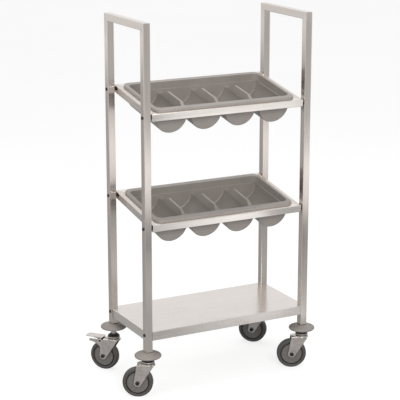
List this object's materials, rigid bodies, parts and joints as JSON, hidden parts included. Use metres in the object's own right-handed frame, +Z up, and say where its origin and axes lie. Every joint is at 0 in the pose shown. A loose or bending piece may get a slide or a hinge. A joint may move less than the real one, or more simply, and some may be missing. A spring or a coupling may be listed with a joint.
{
  "type": "cutlery cart",
  "caption": "Trolley of square steel tube on swivel casters, with tilted frames that hold lift-out boxes of half-round cutlery troughs above a flat bottom shelf.",
  "frame": {"origin": "middle of the cart's footprint on the floor, with the casters turned as in the picture", "axes": "+Z up, X along the cart's length, -Y the low front of the tilted shelves"},
  "size_m": [0.7292, 0.4114, 1.268],
  "materials": {
    "tube_steel": "satin brushed stainless",
    "sheet_steel": "bright brushed stainless",
    "caster_steel": "pressed bright stainless",
    "plated_steel": "bright zinc plated",
    "dark_bolt": "black oxide",
    "box_plastic": "satin grey moulded",
    "bumper_grey": "matt grey",
    "black_plastic": "matt black",
    "hub_plastic": "matt dark grey",
    "tyre_rubber": "matt dark grey rubber"
  },
  "bodies": {
    "root": {"bottom_shelf": "sheet_steel", "bottom_shelf_bolts": "dark_bolt", "bumper_front_left": "bumper_grey", "bumper_front_right": "bumper_grey", "bumper_rear_left": "bumper_grey", "bumper_rear_right": "bumper_grey", "caster_stems": "plated_steel", "foot_plugs": "black_plastic", "lower_shelf_front_rail": "tube_steel", "lower_shelf_left_rail": "tube_steel", "lower_shelf_rear_rail": "tube_steel", "lower_shelf_right_rail": "tube_steel", "post_front_left": "tube_steel", "post_front_right": "tube_steel", "post_rear_left": "tube_steel", "post_rear_right": "tube_steel", "shelf_frame_bolts": "dark_bolt", "shelf_nuts": "plated_steel", "shelf_spacers": "black_plastic", "swivel_cap_front_left": "black_plastic", "swivel_cap_front_right": "black_plastic", "swivel_cap_rear_left": "black_plastic", "swivel_cap_rear_right": "black_plastic", "top_rail_left": "tube_steel", "top_rail_right": "tube_steel", "upper_shelf_front_rail": "tube_steel", "upper_shelf_left_rail": "tube_steel", "upper_shelf_rear_rail": "tube_steel", "upper_shelf_right_rail": "tube_steel"},
    "swivel_front_left": {"dust_seal_front_left": "black_plastic", "race_ring_front_left": "caster_steel", "fork_front_left": "caster_steel", "axle_front_left": "plated_steel"},
    "wheel_front_left": {"hub_front_left": "hub_plastic", "tyre_front_left": "tyre_rubber"},
    "swivel_rear_left": {"dust_seal_rear_left": "black_plastic", "race_ring_rear_left": "caster_steel", "fork_rear_left": "caster_steel", "axle_rear_left": "plated_steel", "brake_pin_rear_left": "plated_steel"},
    "wheel_rear_left": {"hub_rear_left": "hub_plastic", "tyre_rear_left": "tyre_rubber"},
    "brake_rear_left": {"brake_pedal_rear_left": "caster_steel"},
    "swivel_front_right": {"dust_seal_front_right": "black_plastic", "race_ring_front_right": "caster_steel", "fork_front_right": "caster_steel", "axle_front_right": "plated_steel"},
    "wheel_front_right": {"hub_front_right": "hub_plastic", "tyre_front_right": "tyre_rubber"},
    "swivel_rear_right": {"dust_seal_rear_right": "black_plastic", "race_ring_rear_right": "caster_steel", "fork_rear_right": "caster_steel", "axle_rear_right": "plated_steel", "brake_pin_rear_right": "plated_steel"},
    "wheel_rear_right": {"hub_rear_right": "hub_plastic", "tyre_rear_right": "tyre_rubber"},
    "brake_rear_right": {"brake_pedal_rear_right": "caster_steel"},
    "box_upper": {"upper_cutlery_box": "box_plastic"},
    "box_lower": {"lower_cutlery_box": "box_plastic"}
  },
  "joints": [
    {"name": "swivel_turn_front_left", "type": "hinge", "parent": "root", "child": "swivel_front_left", "pos_m": [-0.28586, -0.16022, 0.116], "axis": [0, 0, 1], "continuous": true},
    {"name": "wheel_roll_front_left", "type": "hinge", "parent": "swivel_front_left", "child": "wheel_front_left", "pos_m": [-0.31586, -0.14219, 0.052], "axis": [0.515, 0.8572, 0], "continuous": true},
    {"name": "swivel_turn_rear_left", "type": "hinge", "parent": "root", "child": "swivel_rear_left", "pos_m": [-0.28586, 0.11978, 0.116], "axis": [0, 0, 1], "continuous": true},
    {"name": "wheel_roll_rear_left", "type": "hinge", "parent": "swivel_rear_left", "child": "wheel_rear_left", "pos_m": [-0.30882, 0.14619, 0.052], "axis": [0.7547, 0.6561, 0], "continuous": true},
    {"name": "brake_lift_rear_left", "type": "hinge", "parent": "swivel_rear_left", "child": "brake_rear_left", "pos_m": [-0.31604, 0.1545, 0.108], "axis": [0.7547, 0.6561, 0], "range_deg": [0, 18]},
    {"name": "swivel_turn_front_right", "type": "hinge", "parent": "root", "child": "swivel_front_right", "pos_m": [0.31914, -0.16022, 0.116], "axis": [0, 0, 1], "continuous": true},
    {"name": "wheel_roll_front_right", "type": "hinge", "parent": "swivel_front_right", "child": "wheel_front_right", "pos_m": [0.28768, -0.14488, 0.052], "axis": [0.4384, 0.8988, 0], "continuous": true},
    {"name": "swivel_turn_rear_right", "type": "hinge", "parent": "root", "child": "swivel_rear_right", "pos_m": [0.31914, 0.11978, 0.116], "axis": [0, 0, 1], "continuous": true},
    {"name": "wheel_roll_rear_right", "type": "hinge", "parent": "swivel_rear_right", "child": "wheel_rear_right", "pos_m": [0.29354, 0.14365, 0.052], "axis": [0.682, 0.7314, 0], "continuous": true},
    {"name": "brake_lift_rear_right", "type": "hinge", "parent": "swivel_rear_right", "child": "brake_rear_right", "pos_m": [0.2855, 0.15115, 0.108], "axis": [0.682, 0.7314, 0], "range_deg": [0, 18]},
    {"name": "box_lift_upper", "type": "slide", "parent": "root", "child": "box_upper", "axis": [0, -0.1771, 0.9842], "range_m": [0, 0.12]},
    {"name": "box_lift_lower", "type": "slide", "parent": "root", "child": "box_lower", "axis": [0, -0.1771, 0.9842], "range_m": [0, 0.12]}
  ]
}
